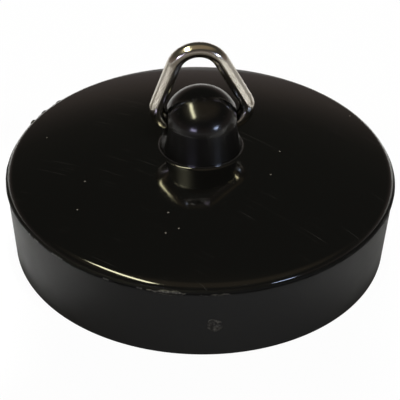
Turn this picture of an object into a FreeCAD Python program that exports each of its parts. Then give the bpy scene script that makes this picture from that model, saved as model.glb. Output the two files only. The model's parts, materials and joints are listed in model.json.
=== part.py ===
import FreeCAD, Part
import math
import os

# A bath and basin plug: one hollow black moulding with a drafted, domed knob on its crowned top, and
# a bent wire triangle that swings in a hole across the knob and takes the end of a chain.
# Millimetres. +Z is up, X runs along the hole, and the origin is the centre of the bottom edge.

# Outside of the plug: a tapered skirt up to the parting line at the rim, then a rounded edge and a crown.
rim_diameter = 45.0
foot_diameter = 42.8
rim_height = 9.3
rim_round = 1.15
crown_height = 13.7

# Hollow underneath: a skirt that thickens upwards, under a ceiling that follows the crown.
lip_wall = 1.8
lip_round = 0.4
top_wall = 2.4
hollow_draft = 2.0
hollow_round = 1.2

# Knob: a ball end on a post that widens to its foot. The neck is the post below the hole's mouths.
knob_diameter = 8.8
neck_height = 1.2
knob_foot_diameter = 9.5
knob_foot_round = 0.4

# Hole across the knob, through the ball's centre, with rounded mouths.
hole_clearance = 0.625
mouth_round = 0.4

# Wire triangle: round wire whose two cut ends meet inside the hole, and whose arms clear the ball.
wire_diameter = 1.75
triangle_height = 11.55
arm_gap = 0.38
corner_bend = 2.1
apex_bend = 2.95
apex_offset = -0.5
side_play = 0.05
end_gap = 0.3

# Cuts run past the faces that they open by this much.
overrun = 2.0

rim_radius = rim_diameter / 2
foot_radius = foot_diameter / 2
knob_radius = knob_diameter / 2
knob_foot_radius = knob_foot_diameter / 2
wire_radius = wire_diameter / 2
hole_radius = wire_radius + hole_clearance
knob_centre_height = crown_height + neck_height + mouth_round + hole_radius

# The crown is a sphere that touches the rim's rounded edge without a crease.
edge_centre_radius = rim_radius - rim_round
crown_rise = crown_height - rim_height
crown_radius = (edge_centre_radius ** 2 + crown_rise ** 2 - rim_round ** 2) / (2 * (crown_rise - rim_round))
crown_centre_height = crown_height - crown_radius


def point(across, up):
    """A point of the section through the axis, in the XZ plane."""
    return FreeCAD.Vector(across, 0, up)


def on_circle(centre, radius, angle):
    """The point of a circle in the XZ plane at an angle from X towards Z, in degrees."""
    turn = math.radians(angle)
    return centre + point(radius * math.cos(turn), radius * math.sin(turn))


def arc(centre, radius, first_angle, last_angle):
    """An arc in the XZ plane, as an edge."""
    middle_angle = (first_angle + last_angle) / 2
    ends = [on_circle(centre, radius, angle) for angle in (first_angle, middle_angle, last_angle)]
    return Part.Arc(*ends).toShape()


def line(first, last):
    return Part.LineSegment(first, last).toShape()


def ring(shape, radius, height):
    """The circular edge round Z that lies nearest to a radius and a height."""
    rings = []
    for edge in shape.Edges:
        if edge.Degenerated or not isinstance(edge.Curve, Part.Circle):
            continue
        circle = edge.Curve
        if abs(circle.Axis.z) > math.hypot(circle.Axis.x, circle.Axis.y):
            rings.append((math.hypot(circle.Radius - radius, circle.Center.z - height), edge))
    return min(rings, key=lambda item: item[0])[1]


def plug_outside():
    """The plug without its hollow and hole, turned from one section."""
    crown_centre = point(0, crown_centre_height)
    edge_centre = point(edge_centre_radius, rim_height)
    knob_centre = point(0, knob_centre_height)
    edge_angle = math.degrees(math.atan2(rim_height - crown_centre_height, edge_centre_radius))
    foot_angle = math.degrees(math.acos(knob_foot_radius / crown_radius))
    knob_foot = on_circle(crown_centre, crown_radius, foot_angle)

    # The post's side runs from its foot and touches the ball.
    drop = knob_centre_height - knob_foot.z
    reach = math.hypot(knob_foot_radius, drop)
    foot_direction = math.degrees(math.atan2(-drop, knob_foot_radius))
    ball_angle = foot_direction + math.degrees(math.acos(knob_radius / reach))
    ball_end = on_circle(knob_centre, knob_radius, ball_angle)
    knob_top = on_circle(knob_centre, knob_radius, 90)

    rim = point(rim_radius, rim_height)
    lip = point(foot_radius, 0)
    section = [
        arc(knob_centre, knob_radius, 90, ball_angle),
        line(ball_end, knob_foot),
        arc(crown_centre, crown_radius, foot_angle, edge_angle),
        arc(edge_centre, rim_round, edge_angle, 0),
        line(rim, lip),
        line(lip, point(0, 0)),
        line(point(0, 0), knob_top),
    ]
    face = Part.Face(Part.Wire(section))
    solid = face.revolve(FreeCAD.Vector(0, 0, 0), FreeCAD.Vector(0, 0, 1), 360)
    solid = solid.makeFillet(knob_foot_round, [ring(solid, knob_foot_radius, knob_foot.z)])
    return solid


def hollow():
    """The space under the plug: a drafted core with a domed, rounded end."""
    mouth_radius = foot_radius - lip_wall
    slope = math.tan(math.radians(hollow_draft))
    top_radius = mouth_radius - crown_height * slope
    core = Part.makeCone(mouth_radius, top_radius, crown_height)
    dome = Part.makeSphere(crown_radius - top_wall, point(0, crown_centre_height))
    space = core.common(dome)
    return space.makeFillet(hollow_round, [ring(space, top_radius, crown_height)])


def plug_body():
    solid = plug_outside().cut(hollow())
    lips = [ring(solid, foot_radius, 0), ring(solid, foot_radius - lip_wall, 0)]
    solid = solid.makeFillet(lip_round, lips)

    reach = knob_foot_radius + overrun
    start = point(-reach, knob_centre_height)
    solid = solid.cut(Part.makeCylinder(hole_radius, 2 * reach, start, FreeCAD.Vector(1, 0, 0)))
    mouths = []
    for face in solid.Faces:
        if isinstance(face.Surface, Part.Cylinder) and abs(face.Surface.Axis.x) > abs(face.Surface.Axis.z):
            mouths += [edge for edge in face.Edges if not isinstance(edge.Curve, Part.Line)]
    return solid.makeFillet(mouth_round, mouths).Solids[0]


def arm_angle(apex_centre, corner_centre, side):
    """The angle, in degrees above level, that a straight arm's outward normal makes on one side."""
    across = side * (corner_centre.x - apex_centre.x)
    up = corner_centre.z - apex_centre.z
    lean = math.degrees(math.acos((apex_bend - corner_bend) / math.hypot(across, up)))
    return math.degrees(math.atan2(up, across)) + lean


def wire_triangle():
    """Round wire bent to a triangle: bar through the hole, two bends, two arms and a round apex."""
    middle = point(side_play, knob_centre_height)
    half_width = math.sqrt(knob_radius ** 2 - corner_bend ** 2) + arm_gap + wire_radius
    apex_height = triangle_height - wire_diameter - apex_bend
    apex_centre = middle + point(apex_offset, apex_height)
    right_centre = middle + point(half_width - corner_bend, corner_bend)
    left_centre = middle + point(corner_bend - half_width, corner_bend)
    right_angle = arm_angle(apex_centre, right_centre, 1)
    left_angle = 180 - arm_angle(apex_centre, left_centre, -1)

    first_end = middle + point(end_gap / 2, 0)
    last_end = middle - point(end_gap / 2, 0)
    path = Part.Wire([
        line(first_end, on_circle(right_centre, corner_bend, -90)),
        arc(right_centre, corner_bend, -90, right_angle),
        line(on_circle(right_centre, corner_bend, right_angle), on_circle(apex_centre, apex_bend, right_angle)),
        arc(apex_centre, apex_bend, right_angle, left_angle),
        line(on_circle(apex_centre, apex_bend, left_angle), on_circle(left_centre, corner_bend, left_angle)),
        arc(left_centre, corner_bend, left_angle, 270),
        line(on_circle(left_centre, corner_bend, 270), last_end),
    ])
    cut_end = Part.Wire(Part.makeCircle(wire_radius, first_end, FreeCAD.Vector(1, 0, 0)))
    return path.makePipeShell([cut_end], True, False)


os.makedirs("parts", exist_ok=True)
for name, shape in (("plug_body", plug_body()), ("wire_triangle", wire_triangle())):
    shape.exportStep("parts/" + name + ".step")
    print(name, shape.ShapeType, shape.isValid(), round(shape.Volume, 1), shape.BoundBox)
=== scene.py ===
import json
import math
import bmesh
import bpy
from mathutils import Matrix, Vector, noise


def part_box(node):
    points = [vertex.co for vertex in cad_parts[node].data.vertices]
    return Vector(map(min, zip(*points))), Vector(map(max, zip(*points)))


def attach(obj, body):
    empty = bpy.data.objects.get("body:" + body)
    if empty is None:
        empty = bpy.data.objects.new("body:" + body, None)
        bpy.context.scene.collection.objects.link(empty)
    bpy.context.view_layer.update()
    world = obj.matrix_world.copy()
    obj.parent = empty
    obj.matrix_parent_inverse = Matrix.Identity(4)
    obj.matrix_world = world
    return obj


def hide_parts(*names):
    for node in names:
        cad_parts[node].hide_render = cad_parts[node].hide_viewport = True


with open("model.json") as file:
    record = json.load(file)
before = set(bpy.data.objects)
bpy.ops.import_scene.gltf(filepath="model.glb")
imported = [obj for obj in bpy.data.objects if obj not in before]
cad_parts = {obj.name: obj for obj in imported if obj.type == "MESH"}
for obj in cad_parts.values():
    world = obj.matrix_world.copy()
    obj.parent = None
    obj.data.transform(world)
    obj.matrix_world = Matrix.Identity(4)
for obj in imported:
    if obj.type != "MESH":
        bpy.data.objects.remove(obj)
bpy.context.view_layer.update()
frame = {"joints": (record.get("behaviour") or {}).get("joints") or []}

# The plug is one hollow moulding of black ABS. Its crown and knob come from a polished half of the mould
# and its skirt from a plain half, and a pin that crossed the mould left the hole through the knob.
mm = 0.001
plug_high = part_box("plug_body")[1]
hinge = Vector(frame["joints"][0]["pos_m"])
flash_reach = 0.16 * mm
rim_radius = plug_high.y - flash_reach
rim_height = 9.3 * mm
rim_round = 1.15 * mm
crown_height = 13.7 * mm
foot_radius = 21.4 * mm
lip_wall = 1.8 * mm
lip_round = 0.4 * mm
top_wall = 2.4 * mm
hollow_draft = math.radians(2)
hollow_round = 1.2 * mm
knob_radius = plug_high.z - hinge.z
knob_foot_radius = 4.75 * mm
knob_foot_round = 0.4 * mm
hole_radius = 1.5 * mm
mouth_round = 0.4 * mm
round_steps = 256
lip_steps = 8
hollow_steps = 10
ceiling_steps = 16
ball_steps = 56
foot_steps = 10
crown_steps = 32
rim_steps = 16
pin_sides = 96
weld_reach = 0.001 * mm


def at(across, up):
    """A point or a way in the plane of a section, which is the XZ plane."""
    return Vector((across, 0, up))


def way(turn):
    """The way in a section that lies at a turn from straight up towards straight out."""
    return at(math.sin(turn), math.cos(turn))


def turn_of(arrow):
    """The turn of a way in a section, from straight up."""
    return math.atan2(arrow.x, arrow.z)


def meet(start, along, centre, radius, side):
    """How far along a line a circle is met: where it is entered for a side of -1, and left for 1."""
    offset = start - centre
    passed = offset.dot(along)
    return side * math.sqrt(passed ** 2 - offset.length_squared + radius ** 2) - passed


def draw_line(shape, last, end):
    """Draws a section on with a straight line, and returns its new last vertex."""
    fresh = bmesh.ops.extrude_vert_indiv(shape, verts=[last])["verts"][0]
    fresh.co = end
    return fresh


def draw_arc(shape, last, centre, turn, steps):
    """Draws a section on with an arc round a centre, and returns its new last vertex."""
    made = bmesh.ops.spin(shape, geom=[last], cent=centre, axis=(0, 1, 0), angle=turn, steps=steps)
    return next(item for item in made["geom_last"] if isinstance(item, bmesh.types.BMVert))


def turn_section(shape, steps):
    """Turns the section that was just drawn round the plug's axis."""
    section = [edge for edge in shape.edges if not edge.link_faces]
    corners = {corner for edge in section for corner in edge.verts}
    bmesh.ops.spin(
        shape, geom=section + list(corners), cent=(0, 0, 0), axis=(0, 0, 1), angle=math.tau, steps=steps,
        use_merge=True)


def close_up(shape):
    """Merges the seams and poles of a shape, and turns its faces outwards."""
    bmesh.ops.remove_doubles(shape, verts=shape.verts, dist=weld_reach)
    bmesh.ops.recalc_face_normals(shape, faces=shape.faces)
    for face in shape.faces:
        face.smooth = True


def make_object(name, shape):
    """Puts a finished shape into an object at the origin."""
    mesh = bpy.data.meshes.new(name)
    shape.to_mesh(mesh)
    shape.free()
    piece = bpy.data.objects.new(name, mesh)
    bpy.context.scene.collection.objects.link(piece)
    return piece


# The crown is a sphere that runs into the rim's round without a crease. The post's side touches the ball.
edge_centre = at(rim_radius - rim_round, rim_height)
crown_rise = crown_height - rim_height
crown_radius = (edge_centre.x ** 2 + crown_rise ** 2 - rim_round ** 2) / (2 * (crown_rise - rim_round))
crown_centre = at(0, crown_height - crown_radius)
edge_turn = turn_of(edge_centre - crown_centre)
foot_height = crown_centre.z + math.sqrt(crown_radius ** 2 - knob_foot_radius ** 2)
knob_foot = at(knob_foot_radius, foot_height) - hinge
ball_turn = turn_of(knob_foot) - math.acos(knob_radius / knob_foot.length)
ball_end = hinge + way(ball_turn) * knob_radius
post_way = way(ball_turn + math.pi / 2)
foot_centre = ball_end + way(ball_turn) * knob_foot_round
foot_centre += post_way * meet(foot_centre, post_way, crown_centre, crown_radius + knob_foot_round, -1)
foot_turn = turn_of(foot_centre - crown_centre)

# The skirt's lip is rounded on both sides, and the hollow runs up into a ceiling that follows the crown.
skirt_draft = math.atan2(rim_radius - foot_radius, rim_height)
lip_inset = lip_round * (1 - math.sin(skirt_draft)) / math.cos(skirt_draft)
lip_centre = at(foot_radius - lip_inset, lip_round)
mouth_radius = foot_radius - lip_wall
inner_inset = lip_round * (1 - math.sin(hollow_draft)) / math.cos(hollow_draft)
inner_centre = at(mouth_radius + inner_inset, lip_round)
wall_out = way(-math.pi / 2 - hollow_draft)
wall_way = way(-hollow_draft)
ceiling_radius = crown_radius - top_wall
ceiling_corner = at(mouth_radius, 0) + wall_out * hollow_round
ceiling_corner += wall_way * meet(ceiling_corner, wall_way, crown_centre, ceiling_radius - hollow_round, 1)
ceiling_turn = turn_of(ceiling_corner - crown_centre)

plug_shape = bmesh.new()
last = plug_shape.verts.new(at(rim_radius, rim_height))
last = draw_line(plug_shape, last, lip_centre + way(math.pi / 2 + skirt_draft) * lip_round)
last = draw_arc(plug_shape, last, lip_centre, math.pi / 2 - skirt_draft, lip_steps)
last = draw_line(plug_shape, last, at(inner_centre.x, 0))
last = draw_arc(plug_shape, last, inner_centre, math.pi / 2 - hollow_draft, lip_steps)
last = draw_line(plug_shape, last, ceiling_corner - wall_out * hollow_round)
last = draw_arc(plug_shape, last, ceiling_corner, ceiling_turn + hollow_draft - math.pi / 2, hollow_steps)
draw_arc(plug_shape, last, crown_centre, -ceiling_turn, ceiling_steps)
turn_section(plug_shape, round_steps)
for face in plug_shape.faces:
    face.material_index = 1

last = plug_shape.verts.new(at(0, plug_high.z))
last = draw_arc(plug_shape, last, hinge, ball_turn, ball_steps)
last = draw_line(plug_shape, last, foot_centre - way(ball_turn) * knob_foot_round)
last = draw_arc(plug_shape, last, foot_centre, foot_turn - ball_turn, foot_steps)
last = draw_arc(plug_shape, last, crown_centre, edge_turn - foot_turn, crown_steps)
draw_arc(plug_shape, last, edge_centre, math.pi / 2 - edge_turn, rim_steps)
turn_section(plug_shape, round_steps)
close_up(plug_shape)
plug = make_object("plug_moulding", plug_shape)

# The hole is cut by its pin, and its mouths are then rounded by sinking the skin beside them.
pin_shape = bmesh.new()
pin_place = Matrix.Translation(hinge) @ Matrix.Rotation(math.pi / 2, 4, "Y")
bmesh.ops.create_cone(
    pin_shape, cap_ends=True, segments=pin_sides, radius1=hole_radius, radius2=hole_radius,
    depth=4 * knob_foot_radius, matrix=pin_place)
close_up(pin_shape)
pin = make_object("hole_pin", pin_shape)
cut = plug.modifiers.new("hole", "BOOLEAN")
cut.operation = "DIFFERENCE"
cut.solver = "EXACT"
cut.object = pin
plug_shape = bmesh.new()
plug_shape.from_object(plug, bpy.context.evaluated_depsgraph_get())
plug.modifiers.remove(cut)
bpy.data.objects.remove(pin)


def knob_reach(beside, above):
    """How far along the hole the knob's skin lies, beside and above the hole's axis."""
    if above > ball_end.z - hinge.z:
        return math.sqrt(knob_radius ** 2 - beside ** 2 - above ** 2)
    post_radius = ball_end.x + (ball_end.z - hinge.z - above) * post_way.x / -post_way.z
    return math.sqrt(post_radius ** 2 - beside ** 2)


for corner in plug_shape.verts:
    beside = corner.co.y
    above = corner.co.z - hinge.z
    span = math.hypot(beside, above)
    if abs(corner.co.x) < hole_radius or span > hole_radius + 2 * mouth_round:
        continue
    beside_share = beside / span
    above_share = above / span
    middle = hole_radius + mouth_round
    further = middle + mouth_round
    middle_reach = knob_reach(middle * beside_share, middle * above_share)
    further_reach = knob_reach(further * beside_share, further * above_share)
    lean = math.atan2(middle_reach - further_reach, mouth_round)
    touch = middle + mouth_round * math.sin(lean)
    centre_reach = knob_reach(touch * beside_share, touch * above_share) - mouth_round * math.cos(lean)
    if span < touch:
        inward = min(abs(span - middle), mouth_round)
        sunk = centre_reach + math.sqrt(mouth_round ** 2 - inward ** 2)
        corner.co.x = math.copysign(min(abs(corner.co.x), sunk), corner.co.x)
plug_shape.to_mesh(plug.data)
plug_shape.free()


def linear(code):
    """An sRGB hex colour as linear red, green, blue and alpha."""
    shares = [int(code[start:start + 2], 16) / 255 for start in (1, 3, 5)]
    bent = [((share + 0.055) / 1.055) ** 2.4 if share > 0.04045 else share / 12.92 for share in shares]
    return bent + [1]


def add(tree, kind, settings=None, **inputs):
    """Adds a node with its properties, and sets or links its inputs, named or numbered as in0, in1."""
    node = tree.nodes.new(kind)
    for name, value in (settings or {}).items():
        setattr(node, name, value)
    for name, value in inputs.items():
        socket = node.inputs[int(name[2:])] if name[:2] == "in" else node.inputs[name.replace("_", " ")]
        if isinstance(value, bpy.types.NodeSocket):
            tree.links.new(value, socket)
        else:
            socket.default_value = value
    return node


number_mix = {"data_type": "FLOAT"}
colour_mix = {"data_type": "RGBA"}


def new_finish(name):
    """An empty material and its node tree."""
    finish = bpy.data.materials.new(name)
    finish.use_nodes = True
    finish.node_tree.nodes.clear()
    return finish, finish.node_tree


# ABS moulded against polished steel mirrors sharply and wavers a little. The ball was polished less, so its
# highlights are softer. The post dragged as the mould opened, and its marks swallow light, for which a lower
# index stands. Dust lies on the crown, and handling has left fine scratches.
polished, tree = new_finish("black_abs_moulded_polished")
place = add(tree, "ShaderNodeTexCoord").outputs["Object"]
height = add(tree, "ShaderNodeSeparateXYZ", Vector=place).outputs["Z"]
on_post = add(
    tree, "ShaderNodeMapRange", Value=height, From_Min=crown_height,
    From_Max=crown_height + knob_foot_round).outputs["Result"]
drag_fade = 0.8 * mm
on_ball = add(
    tree, "ShaderNodeMapRange", Value=height, From_Min=ball_end.z,
    From_Max=ball_end.z + drag_fade).outputs["Result"]
smear_size = 5 * mm
smear = add(tree, "ShaderNodeTexNoise", Vector=place, Scale=1 / smear_size, Detail=3.0).outputs["Fac"]
crown_gloss = add(tree, "ShaderNodeMapRange", Value=smear, To_Min=0.06, To_Max=0.1).outputs["Result"]
post_gloss = add(tree, "ShaderNodeMapRange", Value=smear, To_Min=0.3, To_Max=0.36).outputs["Result"]
ball_gloss = add(tree, "ShaderNodeMapRange", Value=smear, To_Min=0.14, To_Max=0.19).outputs["Result"]
lower_gloss = add(
    tree, "ShaderNodeMix", number_mix, Factor=on_post, in2=crown_gloss, in3=post_gloss).outputs[0]
gloss = add(tree, "ShaderNodeMix", number_mix, Factor=on_ball, in2=lower_gloss, in3=ball_gloss).outputs[0]
smooth_index = 1.5
dragged_index = 1.3
lower_index = add(
    tree, "ShaderNodeMix", number_mix, Factor=on_post, in2=smooth_index, in3=dragged_index).outputs[0]
index = add(tree, "ShaderNodeMix", number_mix, Factor=on_ball, in2=lower_index, in3=smooth_index).outputs[0]
waver_size = 7 * mm
waver_depth = 0.003 * mm
waver = add(tree, "ShaderNodeTexNoise", Vector=place, Scale=1 / waver_size, Detail=1.0).outputs["Fac"]
wavering = add(tree, "ShaderNodeBump", Strength=1.0, Distance=waver_depth, Height=waver).outputs["Normal"]
scratch_size = Vector((9, 0.16, 9)) * mm
scratch_turn = math.radians(-38)
scratch_place = add(
    tree, "ShaderNodeMapping", {"vector_type": "TEXTURE"}, Vector=place, Rotation=(0, 0, scratch_turn),
    Scale=scratch_size).outputs[0]
scratch = add(tree, "ShaderNodeTexNoise", Vector=scratch_place, Scale=1.0, Detail=1.0).outputs["Fac"]
scratched = add(tree, "ShaderNodeMapRange", Value=scratch, From_Min=0.66, From_Max=0.76).outputs["Result"]
handled = add(tree, "ShaderNodeMapRange", Value=smear, From_Min=0.52, From_Max=0.66).outputs["Result"]
rubbed = add(tree, "ShaderNodeMath", {"operation": "MULTIPLY"}, in0=scratched, in1=handled).outputs[0]
# The knob above the crown is the same ABS, and its darker colour here is painted shade.
moulded = add(
    tree, "ShaderNodeMix", colour_mix, Factor=on_post, in6=linear("#0e0e0d"),
    in7=linear("#0a0a0a")).outputs[2]
worn_with_painted_shade = add(
    tree, "ShaderNodeMix", colour_mix, Factor=rubbed, in6=moulded, in7=linear("#302f2c")).outputs[2]
dust_radius = 0.08 * mm
dust_fade = 0.04 * mm
dust_places = (
    (-13.5 * mm, -4.5 * mm), (-14.5 * mm, -9 * mm), (-4.5 * mm, -11.5 * mm), (-5 * mm, -14.5 * mm),
    (-3.5 * mm, -14 * mm), (-17.5 * mm, 6 * mm), (9 * mm, -1 * mm), (7.5 * mm, -5.5 * mm),
    (18.5 * mm, 9.5 * mm))
gap = 2 * rim_radius
for across, along in dust_places:
    speck = Vector((across, along, crown_centre.z + math.sqrt(crown_radius ** 2 - across ** 2 - along ** 2)))
    reach = add(
        tree, "ShaderNodeVectorMath", {"operation": "DISTANCE"}, in0=place, in1=speck).outputs["Value"]
    gap = add(tree, "ShaderNodeMath", {"operation": "MINIMUM"}, in0=gap, in1=reach).outputs[0]
dusty = add(
    tree, "ShaderNodeMapRange", Value=gap, From_Min=dust_radius + dust_fade,
    From_Max=dust_radius).outputs["Result"]
tint = add(
    tree, "ShaderNodeMix", colour_mix, Factor=dusty, in6=worn_with_painted_shade, in7=linear("#868279")).outputs[2]
shader = add(
    tree, "ShaderNodeBsdfPrincipled", Base_Color=tint, Roughness=gloss, IOR=index, Normal=wavering)
add(tree, "ShaderNodeOutputMaterial", Surface=shader.outputs[0])

# ABS moulded against plain machined steel has a fine even grain, which spreads the light to a satin sheen
# and swallows part of it, for which a lower index stands. The real grain is some hundredths of a millimetre,
# and it is drawn coarser here so that it shows.
satin, tree = new_finish("black_abs_moulded_satin")
place = add(tree, "ShaderNodeTexCoord").outputs["Object"]
grain_size = 0.12 * mm
grain_depth = 0.004 * mm
grain = add(tree, "ShaderNodeTexNoise", Vector=place, Scale=1 / grain_size, Detail=2.0).outputs["Fac"]
grained = add(tree, "ShaderNodeBump", Strength=1.0, Distance=grain_depth, Height=grain).outputs["Normal"]
patch_size = 3 * mm
patch = add(tree, "ShaderNodeTexNoise", Vector=place, Scale=1 / patch_size, Detail=3.0).outputs["Fac"]
sheen = add(tree, "ShaderNodeMapRange", Value=patch, To_Min=0.46, To_Max=0.58).outputs["Result"]
shader = add(
    tree, "ShaderNodeBsdfPrincipled", Base_Color=linear("#242526"), Roughness=sheen, IOR=1.25,
    Normal=grained)
add(tree, "ShaderNodeOutputMaterial", Surface=shader.outputs[0])

plug.data.materials.append(polished)
plug.data.materials.append(satin)
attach(plug, "plug")
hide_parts("plug_body")

# Flash is the thin fin of plastic that crept between the halves of the mould at the rim. It was trimmed
# by hand, so it is even along most of the rim and broken on two sides, where torn edges have whitened.
flash_lean = math.radians(25)
flash_thickness = 0.12 * mm
flash_root = 0.1 * mm
flash_steps = 900
edge_share = 0.4
tear_size = 1.8 * mm
shred_size = 0.5 * mm
fleck_size = 1.1 * mm
ragged_sides = (Vector((-0.85, 0.52, 0)), Vector((-0.74, -0.67, 0)))
side_sharpness = 12
kept_share = 0.85
waver_share = 0.1
lost_share = 0.35
shred_share = 0.3
fleck_level = 0.07

flash_shape = bmesh.new()
fin_top = edge_centre + way(math.pi / 2 - flash_lean) * rim_round
fin_tip = at(rim_radius + flash_reach, rim_height)
last = flash_shape.verts.new(edge_centre + way(math.pi / 2 - flash_lean) * (rim_round - flash_root))
last = draw_line(flash_shape, last, fin_top)
last = draw_line(flash_shape, last, fin_tip.lerp(fin_top, edge_share))
last = draw_line(flash_shape, last, fin_tip)
last = draw_line(flash_shape, last, at(rim_radius, rim_height - flash_thickness))
draw_line(flash_shape, last, at(rim_radius - flash_root, rim_height - flash_thickness))
turn_section(flash_shape, flash_steps)
close_up(flash_shape)


def tear(place):
    """How ragged the fin is at a place, from 0 where it is even to 1, and the way outwards there."""
    out = Vector((place.x, place.y, 0))
    return max(max(0, out.normalized().dot(side)) ** side_sharpness for side in ragged_sides), out


for corner in flash_shape.verts:
    ragged_share, out = tear(corner.co)
    if out.length > rim_radius + flash_reach / 2:
        torn = noise.noise(out / tear_size) + shred_share * noise.noise(out / shred_size)
        left_share = kept_share + waver_share * torn - ragged_share * (lost_share - torn)
        out = out.normalized() * (rim_radius + flash_reach * min(1, max(0, left_share)))
        corner.co.x = out.x
        corner.co.y = out.y
for face in flash_shape.faces:
    middle = face.calc_center_median()
    ragged_share, out = tear(middle)
    at_edge = 0 < middle.z - rim_height < flash_thickness
    if at_edge and ragged_share * noise.noise(out / fleck_size) > fleck_level:
        face.material_index = 1
flash = make_object("rim_flash", flash_shape)

# The fin chilled between the bare faces of the mould, so it is dull. Its colour is darker than the skin
# round it as painted shade, for the shadow under the fin's edge.
dull, tree = new_finish("black_abs_flash")
place = add(tree, "ShaderNodeTexCoord").outputs["Object"]
chill_size = 0.6 * mm
chill = add(tree, "ShaderNodeTexNoise", Vector=place, Scale=1 / chill_size, Detail=3.0).outputs["Fac"]
chilled = add(tree, "ShaderNodeMapRange", Value=chill, To_Min=0.55, To_Max=0.8).outputs["Result"]
shader = add(
    tree, "ShaderNodeBsdfPrincipled", Base_Color=linear("#0b0b0b"), Roughness=chilled, IOR=1.2)
add(tree, "ShaderNodeOutputMaterial", Surface=shader.outputs[0])

# Where ABS is torn or cut it whitens in patches, which makes the breaks lighter than the moulded skin.
broken, tree = new_finish("black_abs_torn")
place = add(tree, "ShaderNodeTexCoord").outputs["Object"]
fibre_size = 0.35 * mm
fibre_depth = 0.03 * mm
fibre = add(tree, "ShaderNodeTexNoise", Vector=place, Scale=1 / fibre_size, Detail=3.0).outputs["Fac"]
whitened = add(tree, "ShaderNodeMapRange", Value=fibre, From_Min=0.46, From_Max=0.66).outputs["Result"]
tint = add(
    tree, "ShaderNodeMix", colour_mix, Factor=whitened, in6=linear("#141414"),
    in7=linear("#4c4c4a")).outputs[2]
fibrous = add(tree, "ShaderNodeBump", Strength=1.0, Distance=fibre_depth, Height=fibre).outputs["Normal"]
shader = add(
    tree, "ShaderNodeBsdfPrincipled", Base_Color=tint, Roughness=0.6, IOR=1.5, Normal=fibrous)
add(tree, "ShaderNodeOutputMaterial", Surface=shader.outputs[0])
flash.data.materials.append(dull)
flash.data.materials.append(broken)
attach(flash, "plug")

# Trimming left scars: a round one on the skirt where the gate that fed the mould was broken off, two strips
# under the rim where flash was sliced away, and three shreds of flash that still stand at the rim.
# Each has its turn round the plug in degrees from the front, height, width, length and lift.
scar_sizes = (
    (0, 4.65 * mm, 1.7 * mm, 1.9 * mm, 0.12 * mm),
    (-14, 9.3 * mm, 4.2 * mm, 0.7 * mm, 0.08 * mm),
    (0, 9.2 * mm, 3.6 * mm, 0.4 * mm, 0.06 * mm),
    (-121, 9.6 * mm, 1.0 * mm, 0.6 * mm, 0.2 * mm),
    (-127, 9.6 * mm, 2.2 * mm, 0.6 * mm, 0.16 * mm),
    (-134, 9.6 * mm, 2.8 * mm, 0.6 * mm, 0.16 * mm))
scar_tear = 0.6 * mm
shift_share = 0.4
smooth_share = 0.6
torn_share = 1.2

scars_shape = bmesh.new()
for turn, height, width, length, lift in scar_sizes:
    for corner in bmesh.ops.create_icosphere(scars_shape, subdivisions=4, radius=1)["verts"]:
        across = corner.co.x * width / 2
        up = corner.co.y * length / 2
        spot = Vector((across, up, height)) / scar_tear
        torn = noise.noise(spot)
        up += height + scar_tear * shift_share * torn
        across += scar_tear * shift_share * noise.noise(spot * 2)
        facing = math.radians(turn) + across / foot_radius
        out = foot_radius + (rim_radius - foot_radius) * up / rim_height
        if up > rim_height:
            out = rim_radius + flash_reach - (up - rim_height) * math.tan(flash_lean)
        out = min(rim_radius + flash_reach, out + lift * corner.co.z * (smooth_share + torn_share * torn))
        corner.co = Vector((math.sin(facing) * out, -math.cos(facing) * out, up))
close_up(scars_shape)
scars = make_object("trim_scars", scars_shape)
scars.data.materials.append(broken)
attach(scars, "plug")

# The triangle is round steel wire, chromed, and bent cold so that its cut ends meet inside the knob.
# It hangs loose in the hole, and the last link of a chain goes round its apex.
wire_radius = 0.875 * mm
triangle_height = 11.545 * mm
arm_gap = 0.38 * mm
corner_bend = 2.1 * mm
apex_bend = 2.95 * mm
apex_offset = -0.5 * mm
side_play = 0.05 * mm
end_gap = 0.3 * mm
wire_sides = 32
corner_steps = 24
apex_steps = 40
wire_middle = hinge + at(side_play, 0)
half_width = math.sqrt(knob_radius ** 2 - corner_bend ** 2) + arm_gap + wire_radius
apex_centre = wire_middle + at(apex_offset, triangle_height - 2 * wire_radius - apex_bend)
right_centre = wire_middle + at(half_width - corner_bend, corner_bend)
left_centre = wire_middle + at(corner_bend - half_width, corner_bend)


def arm_turn(corner_centre, side):
    """The turn, from straight up, of the outward side of the arm that joins the apex to a corner."""
    span = corner_centre - apex_centre
    return turn_of(span) - side * math.acos((apex_bend - corner_bend) / span.length)


def wire_straight(rod, ring, step):
    """Draws the wire on with a straight stretch, and returns the edges of its new end."""
    made = bmesh.ops.extrude_edge_only(rod, edges=ring)["geom"]
    fresh = [item for item in made if isinstance(item, bmesh.types.BMVert)]
    bmesh.ops.translate(rod, verts=fresh, vec=step)
    return [item for item in made if isinstance(item, bmesh.types.BMEdge) and item.is_boundary]


def wire_bend(rod, ring, centre, turn, steps):
    """Draws the wire on with a bend round a centre, and returns the edges of its new end."""
    corners = {corner for edge in ring for corner in edge.verts}
    parts = ring + list(corners)
    made = bmesh.ops.spin(rod, geom=parts, cent=centre, axis=(0, 1, 0), angle=turn, steps=steps)
    return [item for item in made["geom_last"] if isinstance(item, bmesh.types.BMEdge)]


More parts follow.
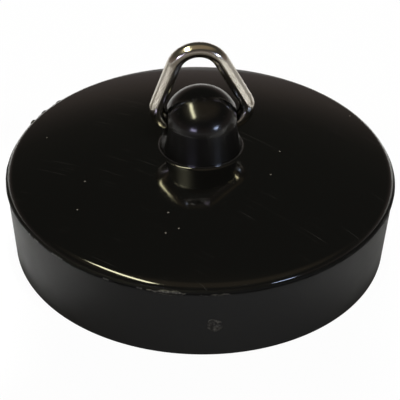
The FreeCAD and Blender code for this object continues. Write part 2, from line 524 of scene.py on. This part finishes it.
right_turn = arm_turn(right_centre, 1)
left_turn = arm_turn(left_centre, -1)
rod = bmesh.new()
first_end = Matrix.Translation(wire_middle + at(end_gap / 2, 0)) @ Matrix.Rotation(math.pi / 2, 4, "Y")
bmesh.ops.create_circle(rod, cap_ends=True, segments=wire_sides, radius=wire_radius, matrix=first_end)
round_wire = rod.verts.layers.float_vector.new("round_wire")
for corner in rod.verts:
    corner[round_wire] = corner.co - wire_middle
ring = list(rod.edges)
ring = wire_straight(rod, ring, right_centre - at(end_gap / 2, corner_bend) - wire_middle)
ring = wire_bend(rod, ring, right_centre, right_turn - math.pi, corner_steps)
ring = wire_straight(rod, ring, apex_centre - right_centre + way(right_turn) * (apex_bend - corner_bend))
ring = wire_bend(rod, ring, apex_centre, left_turn - right_turn, apex_steps)
ring = wire_straight(rod, ring, left_centre - apex_centre + way(left_turn) * (corner_bend - apex_bend))
ring = wire_bend(rod, ring, left_centre, -math.pi - left_turn, corner_steps)
ring = wire_straight(rod, ring, wire_middle - at(end_gap / 2, -corner_bend) - left_centre)
bmesh.ops.contextual_create(rod, geom=ring)
close_up(rod)
triangle = make_object("wire_ring", rod)

# Chrome plate mirrors the room. The wire under it was drawn through a die, and the die's fine lines run
# along it and streak the reflections, which also waver because the bending left the wire a little uneven.
chrome, tree = new_finish("chrome_plate_on_drawn_wire")
place = add(tree, "ShaderNodeTexCoord").outputs["Object"]
dent_size = 1.5 * mm
dent_depth = 0.01 * mm
dent = add(tree, "ShaderNodeTexNoise", Vector=place, Scale=1 / dent_size, Detail=2.0).outputs["Fac"]
dented = add(tree, "ShaderNodeBump", Strength=1.0, Distance=dent_depth, Height=dent).outputs["Normal"]
beside = add(tree, "ShaderNodeAttribute", {"attribute_name": "round_wire"}).outputs["Vector"]
die_size = 0.22 * mm
die_depth = 0.034 * mm
die_line = add(tree, "ShaderNodeTexNoise", Vector=beside, Scale=1 / die_size, Detail=3.0).outputs["Fac"]
lined = add(
    tree, "ShaderNodeBump", Strength=1.0, Distance=die_depth, Height=die_line,
    Normal=dented).outputs["Normal"]
haze_size = 0.8 * mm
haze = add(tree, "ShaderNodeTexNoise", Vector=place, Scale=1 / haze_size, Detail=4.0).outputs["Fac"]
hazed = add(tree, "ShaderNodeMapRange", Value=haze, To_Min=0.1, To_Max=0.18).outputs["Result"]
shader = add(
    tree, "ShaderNodeBsdfPrincipled", Base_Color=linear("#d4cfc5"), Metallic=1.0, Roughness=hazed,
    Normal=lined)
add(tree, "ShaderNodeOutputMaterial", Surface=shader.outputs[0])
triangle.data.materials.append(chrome)
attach(triangle, "triangle")
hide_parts("wire_triangle")

# The floor is a wide sheet of white paper. The camera sees it as white apart from the plug's faint shadow.
# For mirrors its glow is painted: painted shade near the plug and painted light far from it, where nothing
# shades it from the room.
floor_half = 1500 * mm
floor_drop = 0.02 * mm
floor_shape = bmesh.new()
bmesh.ops.create_grid(
    floor_shape, x_segments=1, y_segments=1, size=floor_half, matrix=Matrix.Translation(at(0, -floor_drop)))
floor = make_object("floor", floor_shape)
paper, tree = new_finish("white_paper")
seen_share = 0.98
near_share = 0.06
far_share = 0.38
near_end = 150 * mm
far_start = 300 * mm
path = add(tree, "ShaderNodeLightPath")
lit = add(tree, "ShaderNodeBsdfDiffuse", Color=linear("#f4f4f2")).outputs[0]
glow = add(tree, "ShaderNodeEmission", Color=(1, 1, 1, 1), Strength=1.0).outputs[0]
seen = add(
    tree, "ShaderNodeMath", {"operation": "MULTIPLY"}, in0=path.outputs["Is Camera Ray"],
    in1=seen_share).outputs[0]
mirrored = add(
    tree, "ShaderNodeMath", {"operation": "MAXIMUM"},
    in0=path.outputs["Is Glossy Ray"], in1=path.outputs["Is Transmission Ray"]).outputs[0]
place = add(tree, "ShaderNodeTexCoord").outputs["Object"]
away = add(tree, "ShaderNodeVectorMath", {"operation": "LENGTH"}, in0=place).outputs["Value"]
# Painted shade near the plug and painted light far from it, in the glow that mirrors see.
painted_mirror_glow = add(
    tree, "ShaderNodeMapRange", Value=away, From_Min=near_end, From_Max=far_start, To_Min=near_share,
    To_Max=far_share).outputs["Result"]
glow_share = add(
    tree, "ShaderNodeMath", {"operation": "MULTIPLY_ADD"}, in0=mirrored, in1=painted_mirror_glow,
    in2=seen).outputs[0]
mixed = add(tree, "ShaderNodeMixShader", in0=glow_share, in1=lit, in2=glow).outputs[0]
add(tree, "ShaderNodeOutputMaterial", Surface=mixed)
floor.data.materials.append(paper)

# The room is dim and brownish and grows lighter towards the floor, with a tan ceiling over the camera.
# The camera sees it as white.
room = bpy.data.worlds.new("room")
room.use_nodes = True
bpy.context.scene.world = room
tree = room.node_tree
tree.nodes.clear()
path = add(tree, "ShaderNodeLightPath")
sight = add(tree, "ShaderNodeTexCoord").outputs["Generated"]
parts = add(tree, "ShaderNodeSeparateXYZ", Vector=sight)
rise = parts.outputs["Z"]
tone = add(tree, "ShaderNodeValToRGB", Fac=rise)
ramp = tone.color_ramp.elements
ramp[0].position = 0
ramp[0].color = linear("#7f7571")
ramp[1].position = 0.5
ramp[1].color = linear("#403f39")
for position, code in ((0.16, "#70665f"), (0.26, "#59524c"), (0.36, "#45423c")):
    ramp.new(position).color = linear(code)
high = add(tree, "ShaderNodeMapRange", Value=rise, From_Min=0.55, From_Max=0.8).outputs["Result"]
ahead = add(
    tree, "ShaderNodeMapRange", Value=parts.outputs["Y"], From_Min=0.35, From_Max=-0.1).outputs["Result"]
overhead = add(tree, "ShaderNodeMath", {"operation": "MULTIPLY"}, in0=high, in1=ahead).outputs[0]
shade = add(
    tree, "ShaderNodeMix", colour_mix, Factor=overhead, in6=tone.outputs[0],
    in7=linear("#8a7c66")).outputs[2]
dim = add(tree, "ShaderNodeBackground", Color=shade, Strength=1.0).outputs[0]
white = add(tree, "ShaderNodeBackground", Color=(1, 1, 1, 1), Strength=1.0).outputs[0]
mixed = add(tree, "ShaderNodeMixShader", in0=path.outputs["Is Camera Ray"], in1=dim, in2=white).outputs[0]
add(tree, "ShaderNodeOutputWorld", Surface=mixed)

# The camera looks down at the plug from the front, a little to the left of square to the hole.
view_turn = math.radians(4.9)
camera_reach = 300 * mm
aim_height = 6 * mm
rise_angle = math.radians(35.683)
pitch = math.radians(35.698)
roll = math.radians(0.963)
sensor_width = 36
frame_pixels = 400
focal_pixels = 2579.4
spin = Matrix.Rotation(-view_turn, 4, "Z")
camera_data = bpy.data.cameras.new("camera")
camera_data.sensor_width = sensor_width
camera_data.lens = focal_pixels * sensor_width / frame_pixels
camera = bpy.data.objects.new("camera", camera_data)
bpy.context.scene.collection.objects.link(camera)
stand = Vector((0, -camera_reach * math.cos(rise_angle), camera_reach * math.sin(rise_angle) + aim_height))
camera.matrix_world = (
    spin
    @ Matrix.Translation(stand)
    @ Matrix.Rotation(math.pi / 2 - pitch, 4, "X")
    @ Matrix.Rotation(roll, 4, "Z")
)
bpy.context.scene.camera = camera


# Lamps with grids light the paper in patches, which the wire and the skirt mirror. A soft lamp lights the
# black alone, and three small lamps make the highlights.
def new_lamp(name, length, width, power, placing):
    """A flat lamp that shines down its own Z axis. Its placing turns with the camera, which can't see it."""
    lamp_data = bpy.data.lights.new(name, "AREA")
    lamp_data.shape = "RECTANGLE"
    lamp_data.size = length
    lamp_data.size_y = width
    lamp_data.energy = power
    lamp = bpy.data.objects.new(name, lamp_data)
    bpy.context.scene.collection.objects.link(lamp)
    lamp.matrix_world = spin @ placing
    lamp.visible_camera = False
    return lamp


def hang_lamp(name, first, last, reach, width, power, colour):
    """A lamp that faces the plug and runs between two ways from it, as the camera sees them."""
    ends = [Vector(end).normalized() * reach for end in (first, last)]
    middle = (ends[0] + ends[1]) / 2
    span = ends[1] - ends[0]
    facing = middle.normalized()
    across = facing.cross(span).normalized()
    turned = Matrix((across.cross(facing), across, facing)).transposed().to_4x4()
    lamp = new_lamp(name, span.length, width, power, Matrix.Translation(middle) @ turned)
    lamp.data.color = linear(colour)[:3]
    return lamp


# Each patch has its middle's places to the right of the plug and behind it, its width, depth and brightness.
paper_patches = (
    ("back_patch", -10 * mm, 92 * mm, 300 * mm, 136 * mm, 0.76),
    ("left_patch", -100 * mm, -42 * mm, 100 * mm, 70 * mm, 0.8),
    ("right_patch", 175 * mm, -70 * mm, 230 * mm, 80 * mm, 0.93),
    ("front_left_patch", -34 * mm, -50 * mm, 30 * mm, 24 * mm, 0.88),
    ("front_right_patch", 42 * mm, -63 * mm, 42 * mm, 44 * mm, 0.88),
    ("near_left_patch", -30 * mm, -4 * mm, 20 * mm, 45 * mm, 1.8),
    ("near_right_patch", 34 * mm, -10 * mm, 26 * mm, 65 * mm, 0.85))
patch_drop = 250 * mm
grid_angle = math.radians(3)
paper_only = bpy.data.collections.new("paper_only")
paper_only.objects.link(floor)
for name, across, along, width, depth, brightness in paper_patches:
    power = brightness * math.pi * width * depth
    lamp = new_lamp(name, width, depth, power, Matrix.Translation((across, along, patch_drop)))
    lamp.data.spread = grid_angle
    lamp.visible_glossy = False
    lamp.light_linking.receiver_collection = paper_only

plug_only = bpy.data.collections.new("plug_only")
for piece in (plug, flash, scars):
    plug_only.objects.link(piece)
soft_lamp = hang_lamp(
    "soft_lamp", (-0.1, -0.7, 0.7), (0.5, -0.7, 0.7), reach=1.0, width=0.6, power=7, colour="#ffffff")
soft_lamp.visible_glossy = False
soft_lamp.light_linking.receiver_collection = plug_only

strip = hang_lamp(
    "strip", (-0.47, 0.11, 0.88), (-0.34, -0.64, 0.69), reach=0.8, width=0.09, power=4.3, colour="#fffbd2")
left_window = hang_lamp(
    "left_window", (-0.51, -0.86, 0.15), (-0.25, -0.96, 0.15), reach=0.9, width=0.07, power=0.78,
    colour="#d8d4ff")
right_window = hang_lamp(
    "right_window", (0.63, -0.76, 0.18), (0.78, -0.61, 0.18), reach=0.9, width=0.04, power=1.08,
    colour="#c8daff")
for lamp in (strip, left_window, right_window):
    lamp.visible_diffuse = False

bpy.context.scene.view_settings.view_transform = "Standard"
